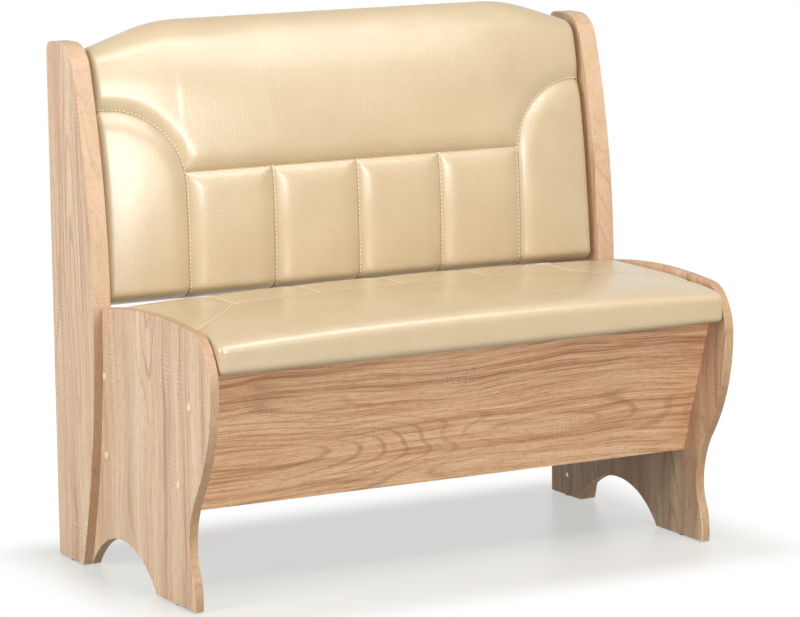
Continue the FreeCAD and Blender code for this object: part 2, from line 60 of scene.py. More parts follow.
MM = 0.001
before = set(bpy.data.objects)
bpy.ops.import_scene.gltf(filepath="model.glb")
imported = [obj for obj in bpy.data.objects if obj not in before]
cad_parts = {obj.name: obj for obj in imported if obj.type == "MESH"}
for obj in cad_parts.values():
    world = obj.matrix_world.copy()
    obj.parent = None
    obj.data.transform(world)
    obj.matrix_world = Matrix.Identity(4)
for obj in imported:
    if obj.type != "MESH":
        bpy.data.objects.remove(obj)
cad_low, cad_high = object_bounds()
seat_low, seat_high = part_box("seat_cushion")
seat_board_low, seat_board_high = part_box("seat_board")
rear_y = cad_high.y

LOW_SIDES = ("side_panel_left", "side_panel_right")
TALL_BOARDS = ("upright_left", "upright_right", "upright_liner_left", "upright_liner_right")
LEVEL_BOARDS = ("box_front_panel", "box_rear_panel")
STEEL = (
    "confirmat_screws_left", "confirmat_screws_right", "upright_screws_left", "upright_screws_right",
    "batten_screws", "bracket_screws_left", "bracket_screws_right", "hinge_screws_fixed", "hinge_screws_lid",
    "back_brackets_left", "back_brackets_right", "hinge_fixed_leaf_left", "hinge_fixed_leaf_right",
    "hinge_lid_leaf_left", "hinge_lid_leaf_right", "hinge_pin_left", "hinge_pin_right",
)


def linear(hex_colour):
    """Linear RGBA of an sRGB hex colour."""
    shares = [int(hex_colour[i:i + 2], 16) / 255 for i in (1, 3, 5)]
    return [s / 12.92 if s <= 0.04045 else ((s + 0.055) / 1.055) ** 2.4 for s in shares] + [1.0]


def colour(label, words, hex_colour):
    return FloatVectorProperty(
        name=label, description=words, default=linear(hex_colour), size=4, subtype="COLOR", min=0.0, max=1.0
    )


def length(label, words, millimetres):
    return FloatProperty(
        name=label, description=words, default=millimetres * MM, min=0.0, subtype="DISTANCE", unit="LENGTH",
        precision=4,
    )


def angle(label, words, degrees):
    return FloatProperty(
        name=label, description=words, default=math.radians(degrees), subtype="ANGLE", unit="ROTATION"
    )


class BenchBoardSettings(bpy.types.PropertyGroup):
    """Colours and pattern sizes of the laminated boards."""

    pale: colour("Pale oak", "Palest streaks of the sides", "#EBD0B2")
    yellow: colour("Yellow oak", "Yellowish streaks of the sides", "#DCBD9A")
    pink: colour("Pink oak", "Pinkish streaks of the sides", "#D2AD90")
    dark: colour("Dark oak", "Darkest streaks of the sides", "#B18867")
    # The box's tones are a deeper, more orange copy of the sides' tones: partly the print of other boards,
    # partly painted shade on the front-facing box
    level_pale: colour("Pale oak, box", "Palest streaks of the box", "#EFC79F")
    level_yellow: colour("Yellow oak, box", "Yellowish streaks of the box", "#E0B489")
    level_pink: colour("Pink oak, box", "Pinkish streaks of the box", "#D4A17A")
    level_dark: colour("Dark oak, box", "Darkest streaks of the box", "#A8764F")
    pore: colour("Pore", "Fine dashes along the grain", "#7F5A3B")
    vein: colour("Vein", "Thin dark lines of the flame figure", "#84593A")
    saw: colour("Saw mark", "Chalky marks across the grain", "#F0DDC6")
    band: colour("Edge band", "Band on the edges of the uprights and the box", "#C5A382")
    # The waved edges' band is darker than the band of the uprights and box: the band's own colour with
    # painted shade on the waved edges
    wave_band: colour("Waved edge band", "Band on the edges of the low sides", "#A27C52")
    figure_width: length("Figure width", "Width of a flame figure", 120.0)
    figure_length: length("Figure length", "Length of a flame figure", 900.0)
    ring_pitch: length("Ring pitch", "Distance between the growth rings of a flame figure", 5.5)
    broad_streak: length("Broad streak", "Width of a broad colour streak", 46.0)
    streak: length("Streak", "Width of a colour streak", 8.0)
    fine_streak: length("Fine streak", "Width of a fine line of grain", 1.8)
    pore_length: length("Pore length", "Length of a pore", 16.0)
    pore_width: length("Pore width", "Width of a pore", 1.0)
    saw_pitch: length("Saw pitch", "Distance between saw marks", 7.5)


class BenchPadSettings(bpy.types.PropertyGroup):
    """Cover, seams and stitches of the seat and the back."""

    leather: colour("Faux leather", "Champagne of the cover", "#C4AE89")
    leather_deep: colour("Faux leather, deep", "Cover in the clouds of its coating", "#BBA47E")
    thread: colour("Thread", "Sewing thread", "#F8ECD6")
    grain: length("Grain", "Size of an embossed grain cell, drawn coarse so that it shows", 3.2)
    swell: length("Swell", "Most that the pressed-out cover rises", 11.0)
    seam_depth: length("Seam depth", "Depth of a sewn seam", 4.0)
    seam_width: length("Seam width", "Half width of a sewn seam's groove", 5.0)
    crease_depth: length("Crease depth", "Depth of the crease where two panels meet", 1.8)
    crease_width: length("Crease width", "Half width of that crease", 1.1)
    stitch_pitch: length("Stitch pitch", "From stitch to stitch, drawn coarse so that stitches show", 7.0)
    stitch_length: length("Stitch length", "Length of thread that shows", 4.2)
    thread_size: length("Thread size", "Diameter of the thread, drawn coarse so that it shows", 1.5)
    row_aside: length("Row distance", "From a seam to the row of stitches beside it", 2.75)
    mesh_step: length("Mesh step", "Spacing of the cover's mesh before it is subdivided", 8.0)


class BenchSeatSettings(bpy.types.PropertyGroup):
    """Form of the seat's pad."""

    seam_half: length("Seam half width", "From the middle to the outer seams", 318.0)
    seam_depth_place: length("Cross seam", "Depth of the seam across the seat", 312.0)
    corner_seam: length("Corner seam", "Depth where the corner seam meets the seat's end", 478.0)
    corner_bow: length("Corner bow", "Bow of the corner seam", 12.0)
    crown: length("Crown", "Rise of the middle over the ends", 10.0)
    end_top: length("End height", "Height of the top at the seat's ends", 452.0)
    front_fall: length("Front fall", "Fall of the top towards the front edge", 14.0)
    front_round: length("Front round", "Radius of the front edge", 17.0)
    under_round: length("Under round", "Radius under the front edge", 13.0)
    end_round: length("End round", "Radius of the end edges", 9.0)
    rear_round: length("Rear round", "Radius of the rear edge", 24.0)
    rear_fall: length("Rear fall", "Fall of the top towards the rear edge", 14.0)
    rear_hang: length("Rear overhang", "Overhang over the hinges", 12.0)
    proud: length("Proud", "How far the cover stands out at the seat's ends; twice that at its front", 1.5)


class BenchBackSettings(bpy.types.PropertyGroup):
    """Form of the back's pad, in the plane of its leaning board."""

    lean: angle("Lean", "Lean of the back from upright", 8.5)
    base_depth: length("Base depth", "Depth of the board's front at its base", 126.0)
    base_height: length("Base height", "Height of the base", 440.0)
    board: length("Board", "Thickness of the board inside", 16.0)
    foam: length("Foam", "Thickness in front of the board", 31.0)
    rise: length("Rise", "Height of the middle above the base", 464.0)
    flat_half: length("Flat half width", "From the middle to where the top edge starts to fall", 290.0)
    fall_bend: length("Fall bend", "Length of the bend from the flat middle to the falling ends", 90.0)
    fall: angle("Fall", "Slope of the falling ends of the top edge", 18.3)
    lumbar_rise: length("Lumbar height", "Height of the fullest part above the base", 222.0)
    lumbar_reach: length("Lumbar reach", "From the fullest part to where the fullness ends", 235.0)
    lumbar: length("Lumbar", "Extra thickness at the small of the back", 24.0)
    half: length("Half width", "From the middle to the ends", 466.0)
    top_round: length("Top round", "Radius of the top edge", 44.0)
    base_round: length("Base round", "Radius of the base edge", 18.0)
    end_round: length("End round", "Radius of the end edges", 10.0)
    seam_half: length("Seam half width", "From the middle to the outer seams", 318.0)
    seam_rise: length("Cross seam", "Height of the seam across the back", 208.0)
    corner_rise: length("Corner seam", "Height where the corner seam meets the end", 317.0)
    corner_radius: length("Corner radius", "Radius of the corner seam", 131.0)


class BenchStageSettings(bpy.types.PropertyGroup):
    """Camera, lamps and floor."""

    camera_place: FloatVectorProperty(
        name="Camera place", description="Where the camera stands", default=(-2.9215, -5.3744, 1.4251),
        subtype="TRANSLATION", unit="LENGTH",
    )
    camera_yaw: angle("Camera yaw", "Turn from straight ahead towards +X", 28.575)
    camera_pitch: angle("Camera pitch", "Downward tilt", 9.372)
    camera_roll: angle("Camera roll", "Clockwise roll", 0.702)
    lens: FloatProperty(
        name="Lens", description="Focal length on a 36 mm sensor", default=167.25, unit="CAMERA"
    )
    # The camera sees the floor in this grey beside the bench and glowing white away from it: painted shade
    # around the bench, over the lamps' real shadow, partly lifted by glowing white
    floor: colour("Floor", "Plain pale floor", "#CFCFC5")
    floor_glow: colour("Floor glow", "Floor as far as it lights the bench", "#8E8E8A")
    shadow_near: length("Shadow near", "From the bench to where the floor starts to turn white", 0.0)
    shadow_far: length("Shadow far", "Distance from the bench where the floor is plain white", 150.0)
    shadow_lift: FloatProperty(
        name="Shadow lift", description="Share of plain white in the floor beside the bench", default=0.48,
        min=0.0, max=1.0,
    )
    sky: FloatProperty(
        name="Sky", description="Strength of the even light from all sides", default=0.22, min=0.0
    )


def node(tree, kind, settings=None, values=None, links=None):
    """Adds a node with its settings, the values of its sockets and the outputs that feed them."""
    made = tree.nodes.new(kind)
    for key, value in (settings or {}).items():
        setattr(made, key, value)
    for key, value in (values or {}).items():
        made.inputs[key].default_value = value
    for key, source in (links or {}).items():
        tree.links.new(source, made.inputs[key])
    return made


def new_material(name):
    """An empty material and its tree, with the principled shader linked to the output."""
    material = bpy.data.materials.new(name)
    material.use_nodes = True
    tree = material.node_tree
    tree.nodes.clear()
    shader = node(tree, "ShaderNodeBsdfPrincipled")
    node(tree, "ShaderNodeOutputMaterial", links={"Surface": shader.outputs[0]})
    return material, tree, shader


def set_ramp(ramp, stops):
    """Gives a colour ramp its stops: pairs of place and colour."""
    elements = ramp.color_ramp.elements
    while len(elements) < len(stops):
        elements.new(1.0)
    for element, (place, tone) in zip(elements, stops):
        element.position = place
        element.color = tone


def dress(names, material):
    """Puts a material on CAD nodes."""
    for name in names:
        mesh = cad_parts[name].data
        mesh.materials.clear()
        mesh.materials.append(material)


# Materials

def oak_laminate(name, axes, tones, band, saw_share, shares, spread):
    """Melamine laminate printed with sawn pale oak: satin, streaked, with pores and chalky saw marks.

    axes are those along the grain, across it and through the board. saw_share is the strength of the saw
    marks, shares are those of broad, narrow and fine streaks in the tone, and a small spread gives these a
    strong contrast.
    """
    look = bpy.context.scene.bench_boards
    material, tree, shader = new_material(name)
    place = node(tree, "ShaderNodeTexCoord").outputs["Object"]
    parts = node(tree, "ShaderNodeSeparateXYZ", links={0: place}).outputs
    along, across, through = (parts[axis] for axis in axes)

    # Cells of each noise across, along and through the board, detail, roughness and start in the print
    origin, heart, sway_reach = (0.0, 0.0, 0.0), (80 * MM, 330 * MM, 0.0), 60 * MM
    straight = {
        "sway": ((200 * MM, 450 * MM, 110 * MM), 2.0, 0.5, origin),
        "wobble": ((30 * MM, 12 * MM, 25 * MM), 2.0, 0.5, origin),
        "patches": ((75 * MM, 150 * MM, 80 * MM), 2.0, 0.5, (-65 * MM, 0.0, 0.0)),
    }
    swaying = {
        "broad": ((look.broad_streak, 0.9, 2.5 * look.broad_streak), 3.0, 0.55, origin),
        "narrow": ((look.streak, 0.45, 2.5 * look.streak), 3.0, 0.55, origin),
        "fine": ((look.fine_streak, 0.12, 2.5 * look.fine_streak), 3.0, 0.55, origin),
        "figure": ((look.figure_width, look.figure_length, 160 * MM), 1.0, 0.35, heart),
        "flames": ((90 * MM, 380 * MM, 140 * MM), 2.0, 0.5, heart),
        "pores": ((look.pore_width, look.pore_length, 3 * MM), 1.0, 0.5, origin),
        "worn": ((4 * MM, 9 * MM, 8 * MM), 2.0, 0.5, origin),
    }
    noises, aside = {}, across
    for layers in (straight, swaying):
        if layers is swaying:
            # The grain sways a little along the board
            shift = node(
                tree, "ShaderNodeMath", {"operation": "MULTIPLY_ADD"}, {1: sway_reach, 2: -sway_reach / 2},
                {0: noises["sway"]},
            ).outputs[0]
            aside = node(tree, "ShaderNodeMath", {"operation": "ADD"}, None, {0: across, 1: shift}).outputs[0]
        grain = node(tree, "ShaderNodeCombineXYZ", links={0: aside, 1: along, 2: through}).outputs[0]
        for layer, (cells, detail, rough, start) in layers.items():
            values = {1: [1 / cell for cell in cells], 2: [s / cell for s, cell in zip(start, cells)]}
            scaled = node(
                tree, "ShaderNodeVectorMath", {"operation": "MULTIPLY_ADD"}, values, {0: grain}
            ).outputs[0]
            values = {"Scale": 1.0, "Detail": detail, "Roughness": rough}
            noises[layer] = node(tree, "ShaderNodeTexNoise", None, values, {"Vector": scaled}).outputs[0]

    # Broad, narrow and fine streaks make the tone
    tone = None
    for share, layer in zip(shares, ("broad", "narrow", "fine")):
        links = {0: noises[layer]} if tone is None else {0: noises[layer], 2: tone}
        tone = node(
            tree, "ShaderNodeMath", {"operation": "MULTIPLY_ADD"}, {1: share, 2: 0.0}, links
        ).outputs[0]
    ramp = node(tree, "ShaderNodeValToRGB", links={0: tone})
    steps = (-1.0, -0.25, 0.25, 1.0)
    set_ramp(ramp, [(0.5 + spread * step, step_tone) for step, step_tone in zip(steps, tones)])

    # Growth rings cut at a slant show as flames of thin dark lines, and saw marks cross the grain like rungs
    rung_place = node(
        tree, "ShaderNodeMath", {"operation": "MULTIPLY_ADD"}, {1: 0.9 * look.saw_pitch},
        {0: noises["wobble"], 2: along},
    ).outputs[0]
    waves = {}
    for wave, source, turns in (
        ("rings", noises["figure"], look.figure_width / look.ring_pitch),
        ("rungs", rung_place, 1 / look.saw_pitch),
    ):
        turn = node(
            tree, "ShaderNodeMath", {"operation": "MULTIPLY"}, {1: 2 * math.pi * turns}, {0: source}
        ).outputs[0]
        waves[wave] = node(tree, "ShaderNodeMath", {"operation": "SINE"}, None, {0: turn}).outputs[0]

    # Pores are drawn twice as coarse as real ones, so that they show
    masks = {}
    for mask, source, low, high, strength in (
        ("rings", waves["rings"], 0.6, 1.0, 0.4), ("flames", noises["flames"], 0.46, 0.64, 1.0),
        ("pores", noises["pores"], 0.55, 0.74, 0.5), ("rungs", waves["rungs"], 0.2, 1.0, saw_share),
        ("patches", noises["patches"], 0.52, 0.68, 1.0), ("worn", noises["worn"], 0.36, 0.6, 1.0),
    ):
        masks[mask] = node(
            tree, "ShaderNodeMapRange", None, {1: low, 2: high, 3: 0.0, 4: strength}, {0: source}
        ).outputs[0]
    for mask, within in (("rings", "flames"), ("patches", "worn"), ("rungs", "patches")):
        masks[mask] = node(
            tree, "ShaderNodeMath", {"operation": "MULTIPLY"}, None, {0: masks[mask], 1: masks[within]}
        ).outputs[0]

    # The edge band is plainer than the faces
    normal = node(tree, "ShaderNodeNewGeometry").outputs["True Normal"]
    face_turn = node(tree, "ShaderNodeSeparateXYZ", links={0: normal}).outputs[axes[2]]
    facing = node(tree, "ShaderNodeMath", {"operation": "ABSOLUTE"}, None, {0: face_turn}).outputs[0]
    masks["edge"] = node(
        tree, "ShaderNodeMapRange", None, {1: 0.35, 2: 0.6, 3: 0.6, 4: 0.0}, {0: facing}
    ).outputs[0]
    print_colour = ramp.outputs[0]
    for mask, mark in (("rings", look.vein), ("pores", look.pore), ("rungs", look.saw), ("edge", band)):
        print_colour = node(
            tree, "ShaderNodeMix", {"data_type": "RGBA"}, {7: mark}, {0: masks[mask], 6: print_colour}
        ).outputs[2]

    rough = node(tree, "ShaderNodeMapRange", None, {1: 0.35, 2: 0.65, 3: 0.5, 4: 0.4}, {0: tone}).outputs[0]
    relief = node(
        tree, "ShaderNodeMath", {"operation": "SUBTRACT"}, None, {0: tone, 1: masks["pores"]}
    ).outputs[0]
    bump = node(
        tree, "ShaderNodeBump", None, {"Strength": 0.3, "Distance": 0.2 * MM}, {"Height": relief}
    ).outputs[0]
    shader.inputs["IOR"].default_value = 1.5
    for socket, source in (("Base Color", print_colour), ("Roughness", rough), ("Normal", bump)):
        tree.links.new(source, shader.inputs[socket])
    return material


def faux_leather():
    """Coated fabric in pearl champagne: fine embossed grain, a soft metallic lustre and broad highlights."""
    look = bpy.context.scene.bench_pads
    material, tree, shader = new_material("pearl_faux_leather")
    place = node(tree, "ShaderNodeTexCoord").outputs["Object"]
    cells = node(
        tree, "ShaderNodeTexVoronoi", {"feature": "SMOOTH_F1"}, {"Scale": 1 / look.grain, "Smoothness": 0.6},
        {"Vector": place},
    ).outputs["Distance"]
    creases = node(
        tree, "ShaderNodeTexNoise", None, {"Scale": 0.3 / look.grain, "Detail": 4.0, "Roughness": 0.6},
        {"Vector": place},
    ).outputs[0]
    clouds = node(
        tree, "ShaderNodeTexNoise", None, {"Scale": 14.0, "Detail": 3.0, "Roughness": 0.5}, {"Vector": place}
    ).outputs[0]
    cloud_part = node(
        tree, "ShaderNodeMapRange", None, {1: 0.35, 2: 0.65, 3: 0.0, 4: 0.55}, {0: clouds}
    ).outputs[0]
    grain_part = node(
        tree, "ShaderNodeMath", {"operation": "MULTIPLY_ADD"}, {1: 0.35}, {0: cells, 2: cloud_part}
    )
    tint = node(
        tree, "ShaderNodeMix", {"data_type": "RGBA"}, {6: look.leather, 7: look.leather_deep},
        {0: grain_part.outputs[0]},
    ).outputs[2]
    rough = node(
        tree, "ShaderNodeMapRange", None, {1: 0.3, 2: 0.7, 3: 0.36, 4: 0.46}, {0: creases}
    ).outputs[0]
    height = node(
        tree, "ShaderNodeMath", {"operation": "MULTIPLY_ADD"}, {1: 0.5}, {0: creases, 2: cells}
    ).outputs[0]
    bump = node(
        tree, "ShaderNodeBump", None, {"Strength": 0.6, "Distance": 0.4 * MM}, {"Height": height}
    ).outputs[0]
    # Pearl flakes in the coating reflect more than clear plastic does
    shader.inputs["IOR"].default_value = 1.75
    shader.inputs["Coat Weight"].default_value = 0.5
    shader.inputs["Coat Roughness"].default_value = 0.22
    for socket, source in (("Base Color", tint), ("Roughness", rough), ("Normal", bump)):
        tree.links.new(source, shader.inputs[socket])
    return material


def sewing_thread():
    """Twisted polyester thread: matt, with the lay of its plies."""
    look = bpy.context.scene.bench_pads
    material, tree, shader = new_material("polyester_thread")
    place = node(tree, "ShaderNodeTexCoord").outputs["Object"]
    plies = node(
        tree, "ShaderNodeTexNoise", None, {"Scale": 0.8 / look.thread_size, "Detail": 2.0}, {"Vector": place}
    ).outputs[0]
    bump = node(
        tree, "ShaderNodeBump", None, {"Strength": 0.5, "Distance": 0.2 * MM}, {"Height": plies}
    ).outputs[0]
    shader.inputs["Base Color"].default_value = look.thread
    shader.inputs["Roughness"].default_value = 0.6
    tree.links.new(bump, shader.inputs["Normal"])
    return material


def speckled(name, tones, size, stretch, rough, relief):
    """A matt surface of small patches in a few tones, such as chips, fibres or felt."""
    material, tree, shader = new_material(name)
    place = node(tree, "ShaderNodeTexCoord").outputs["Object"]
    scales = [1 / (size * s) for s in stretch]
    space = node(tree, "ShaderNodeVectorMath", {"operation": "MULTIPLY"}, {1: scales}, {0: place}).outputs[0]
    patches = node(
        tree, "ShaderNodeTexNoise", None, {"Scale": 1.0, "Detail": 4.0}, {"Vector": space}
    ).outputs[0]
    ramp = node(tree, "ShaderNodeValToRGB", links={0: patches})
    set_ramp(ramp, [(0.35 + 0.3 * i / (len(tones) - 1), linear(tone)) for i, tone in enumerate(tones)])
    bump = node(
        tree, "ShaderNodeBump", None, {"Strength": 0.4, "Distance": relief}, {"Height": patches}
    ).outputs[0]
    shader.inputs["Roughness"].default_value = rough
    tree.links.new(ramp.outputs[0], shader.inputs["Base Color"])
    tree.links.new(bump, shader.inputs["Normal"])
    return material


def zinc_steel():
    """Rolled steel with a bright zinc plating: fine spangle."""
    material, tree, shader = new_material("zinc_plated_steel")
    place = node(tree, "ShaderNodeTexCoord").outputs["Object"]
    spangle = node(
        tree, "ShaderNodeTexNoise", None, {"Scale": 400.0, "Detail": 3.0}, {"Vector": place}
    ).outputs[0]
    ramp = node(tree, "ShaderNodeValToRGB", links={0: spangle})
    set_ramp(ramp, ((0.35, linear("#A9ABAA")), (0.65, linear("#CFD0CD"))))
    rough = node(
        tree, "ShaderNodeMapRange", None, {1: 0.3, 2: 0.7, 3: 0.26, 4: 0.42}, {0: spangle}
    ).outputs[0]
    shader.inputs["Metallic"].default_value = 1.0
    tree.links.new(ramp.outputs[0], shader.inputs["Base Color"])
    tree.links.new(rough, shader.inputs["Roughness"])
    return material


# Meshes of the pads

def grid_lines(low, high, step, marks, low_round, high_round):
    """Places of mesh lines: closer in the rounds at both ends and beside each seam."""
    stops = {low, high, low + low_round, high - high_round}
    for mark in marks:
        stops.update((mark - 5 * MM, mark - 2 * MM, mark, mark + 2 * MM, mark + 5 * MM))
    stops = sorted(s for s in stops if low <= s <= high)
    lines = [low]
    for a, b in zip(stops, stops[1:]):
        rounding = b <= low + low_round + 1e-9 or a >= high - high_round - 1e-9
        count = max(1, round((b - a) / (step * 0.55 if rounding else step)))
        lines += [a + (b - a) * (i + 1) / count for i in range(count)]
    return lines


def block(xs, ys, zs):
    """Points and faces of a closed box whose six sides follow the given mesh lines."""
    index = {}
    points = []

    def corner(i, j, k):
        if (i, j, k) not in index:
            index[(i, j, k)] = len(points)
            points.append((xs[i], ys[j], zs[k]))
        return index[(i, j, k)]

    faces = []
    nx, ny, nz = len(xs) - 1, len(ys) - 1, len(zs) - 1
    for i in range(nx):
        for j in range(ny):
            top = ((i, j, nz), (i + 1, j, nz), (i + 1, j + 1, nz), (i, j + 1, nz))
            base = ((i, j, 0), (i, j + 1, 0), (i + 1, j + 1, 0), (i + 1, j, 0))
            faces += [[corner(*p) for p in side] for side in (top, base)]
        for k in range(nz):
            front = ((i, 0, k), (i + 1, 0, k), (i + 1, 0, k + 1), (i, 0, k + 1))
            rear = ((i, ny, k), (i, ny, k + 1), (i + 1, ny, k + 1), (i + 1, ny, k))
            faces += [[corner(*p) for p in side] for side in (front, rear)]
    for j in range(ny):
        for k in range(nz):
            left = ((0, j, k), (0, j, k + 1), (0, j + 1, k + 1), (0, j + 1, k))
            right = ((nx, j, k), (nx, j + 1, k), (nx, j + 1, k + 1), (nx, j, k + 1))
            faces += [[corner(*p) for p in side] for side in (left, right)]
    return np.array(points), faces


def rounded(points, rounds):
    """Rounds a box's edges: rounds gives the radius at the low and high side of each axis."""
    low, high = points.min(0), points.max(0)
    radii_low, radii_high = np.array([r[0] for r in rounds]), np.array([r[1] for r in rounds])
    core = np.clip(points, low + radii_low, high - radii_high)
    off = points - core
    radii = np.where(off < 0, radii_low, radii_high)
    unit = off / np.maximum(radii, 1e-9)
    size = np.maximum(np.linalg.norm(unit, axis=1, keepdims=True), 1e-9)
    return core + unit / size * radii


def smooth_step(values, low, high):
    share = np.clip((values - low) / (high - low), 0.0, 1.0)
    return share * share * (3 - 2 * share)


def distance_to(paths, flat):
    """Distance of flat points to the nearest of some paths, each a row of flat points."""
    nearest = np.full(len(flat), 1e9)
    for path in paths:
        for a, b in zip(path, path[1:]):
            run = b - a
            share = np.clip(((flat - a) @ run) / max(run @ run, 1e-12), 0.0, 1.0)
            nearest = np.minimum(nearest, np.linalg.norm(flat - a - share[:, None] * run, axis=1))
    return nearest


def make_piece(name, points, faces, material):
    mesh = bpy.data.meshes.new(name)
    mesh.from_pydata([tuple(p) for p in points], [], faces)
    mesh.polygons.foreach_set("use_smooth", [True] * len(mesh.polygons))
    mesh.materials.append(material)
    piece = bpy.data.objects.new(name, mesh)
    bpy.context.scene.collection.objects.link(piece)
    return piece


def points_of(mesh):
    flat = np.zeros(len(mesh.vertices) * 3)
    mesh.vertices.foreach_get("co", flat)
    return flat.reshape(-1, 3)


def normals_of(mesh):
    flat = np.zeros(len(mesh.vertices) * 3)
    mesh.vertices.foreach_get("normal", flat)
    return flat.reshape(-1, 3)


def inflate(piece, sewn, swell, way, smoothing=40):
    """Presses a cover out like stuffed cloth that is held along its seams and where it is stapled.

    The cover rises along one way, by swell at most, and smoothing irons out wrinkles.
    """
    rest = points_of(piece.data)
    facing = smooth_step(normals_of(piece.data) @ way, 0.2, 0.85)
    group = piece.vertex_groups.new(name="sewn")
    group.add([int(i) for i in np.flatnonzero(sewn)], 1.0, "REPLACE")
    cloth = piece.modifiers.new("inflation", "CLOTH")
    settings = cloth.settings
    settings.quality = 5
    settings.vertex_group_mass = group.name
    settings.tension_stiffness = 20.0
    settings.compression_stiffness = 20.0
    settings.shear_stiffness = 10.0
    settings.bending_stiffness = 8.0
    settings.use_pressure = True
    settings.uniform_pressure_force = 4.0
    settings.effector_weights.gravity = 0.0
    cloth.collision_settings.use_self_collision = False
    scene = bpy.context.scene
    for step in range(1, 21):
        scene.frame_set(step)
    shaped = piece.evaluated_get(bpy.context.evaluated_depsgraph_get())
    rise = (points_of(shaped.data) - rest) @ way
    piece.modifiers.remove(cloth)
    piece.vertex_groups.clear()
    scene.frame_set(1)
    rise = np.where(sewn, 0.0, swell * np.tanh(np.maximum(rise, 0.0) / swell) * facing)
    ends = np.zeros(len(piece.data.edges) * 2, dtype=int)
    piece.data.edges.foreach_get("vertices", ends)
    ends = np.concatenate([ends.reshape(-1, 2), ends.reshape(-1, 2)[:, ::-1]])
    near_count = np.bincount(ends[:, 0], minlength=len(rest))
    for _ in range(smoothing):
        near_sum = np.bincount(ends[:, 0], rise[ends[:, 1]], len(rest))
        rise = np.where(sewn, 0.0, 0.5 * rise + 0.5 * near_sum / near_count)
    piece.data.vertices.foreach_set("co", (rest + rise[:, None] * way).ravel())
    piece.data.update()


def subdivide(piece):
    """Adds one level of subdivision and keeps its result."""
    modifier = piece.modifiers.new("subdivision", "SUBSURF")
    modifier.levels = 1
    shaped = piece.evaluated_get(bpy.context.evaluated_depsgraph_get())
    fine = bpy.data.meshes.new_from_object(shaped)
    piece.modifiers.remove(modifier)
    piece.data = fine
    fine.polygons.foreach_set("use_smooth", [True] * len(fine.polygons))


def refine(piece, near):
    """Divides the mesh further where both ends of an edge lie near a seam."""
    work = bmesh.new()
    work.from_mesh(piece.data)
    work.verts.ensure_lookup_table()
    edges = [e for e in work.edges if near[e.verts[0].index] and near[e.verts[1].index]]
    bmesh.ops.subdivide_edges(work, edges=edges, cuts=3, use_grid_fill=True)
    for face in work.faces:
        face.smooth = True
    work.to_mesh(piece.data)
    work.free()


def crease(piece, distances_of, depth, width):
    """Draws the cover in along its seams, by each point's distance to the nearest seam."""
    points = points_of(piece.data)
    normals = normals_of(piece.data)
    pull = depth * np.exp(-(distances_of(points, normals) / width) ** 2)
    piece.data.vertices.foreach_set("co", (points - normals * pull[:, None]).ravel())
    piece.data.update()


def sew(piece, distances_of, share):
    """Presses a groove along the seams and a crease where the panels meet, at a share of their depths."""
    look = bpy.context.scene.bench_pads
    crease(piece, distances_of, share * look.seam_depth / 2, look.seam_width)
    refine(piece, distances_of(points_of(piece.data), normals_of(piece.data)) < 6 * MM)
    crease(piece, distances_of, share * look.crease_depth, look.crease_width)


def even_walk(path, pitch):
    """Places a pitch apart along a path, with the direction of the path at each."""
    runs = np.linalg.norm(np.diff(path, axis=0), axis=1)
    ends = np.concatenate(([0.0], np.cumsum(runs)))
    places = np.arange(pitch / 2, ends[-1], pitch)
    walk = []
    for place in places:
        i = min(int(np.searchsorted(ends, place, side="right")) - 1, len(runs) - 1)
        way = (path[i + 1] - path[i]) / max(runs[i], 1e-9)
        walk.append((path[i] + way * (place - ends[i]), way))
    return walk


def stitch_rows(name, rows, surface, to_space, probe, thread_size):
    """One mesh of sewn stitches along flat rows, each stitch a short thread sunk at both ends.

    surface is the cover, to_space turns a flat point into a point before it, and probe is the way to it.
    """
    look = bpy.context.scene.bench_pads
    tree = BVHTree.FromObject(surface, bpy.context.evaluated_depsgraph_get())
    radius = thread_size / 2
    rings, sides = 5, 6
    points, faces = [], []
    for row in rows:
        for centre, way in even_walk(row, look.stitch_pitch):
            line = []
            for r in range(rings):
                share = r / (rings - 1)
                flat = centre + way * (share - 0.5) * look.stitch_length
                spot, normal, _, _ = tree.ray_cast(to_space(flat), probe)
                if spot is None:
                    break
                arch = math.sin(math.pi * share)
                line.append((spot + normal * radius * (1.1 * arch - 0.7), normal, 0.6 + 0.4 * arch))
            if len(line) < rings:
                continue
            run = (line[-1][0] - line[0][0]).normalized()
            base = len(points)
            for spot, normal, size in line:
                side = run.cross(normal).normalized()
                for s in range(sides):
                    turn = 2 * math.pi * s / sides
                    points.append(spot + (normal * math.cos(turn) + side * math.sin(turn)) * radius * size)
            for r in range(rings - 1):
                for s in range(sides):
                    t = (s + 1) % sides
                    a, b = base + r * sides, base + (r + 1) * sides
                    faces.append((a + s, a + t, b + t, b + s))
            faces.append([base + s for s in reversed(range(sides))])
            faces.append([base + (rings - 1) * sides + s for s in range(sides)])
    return make_piece(name, points, faces, sewing_thread())


def beside(path, gap):
    """A copy of a flat path, moved sideways."""
    ways = np.gradient(path, axis=0)
    ways /= np.maximum(np.linalg.norm(ways, axis=1, keepdims=True), 1e-9)
    return path + np.stack([-ways[:, 1], ways[:, 0]], 1) * gap


# Seat

def seat_seams():
    """Seams of the seat as flat paths in X and Y: across, from front to back, and over the corners."""
    form = bpy.context.scene.bench_seat
    cross_y = rear_y - form.seam_depth_place
    half = form.seam_half
    end_x = seat_high.x + form.end_round
    across = [np.array([[-half, cross_y], [half, cross_y]])]
    runs = [np.array([[x, cross_y], [x, seat_high.y]]) for x in np.linspace(-half, half, 5)]
    corners = []
    for sign in (-1, 1):
        inner = np.array([sign * half, cross_y])
        outer = np.array([sign * end_x, rear_y - form.corner_seam])
        way = (outer - inner) / np.linalg.norm(outer - inner)
        aside = np.array([way[1], -way[0]]) * sign
        shares = np.linspace(0.0, 1.0, 24)[:, None]
        bow = form.corner_bow * 4 * shares * (1 - shares)
        corners.append(inner + (outer - inner) * shares + aside * bow)
    return across, runs, corners


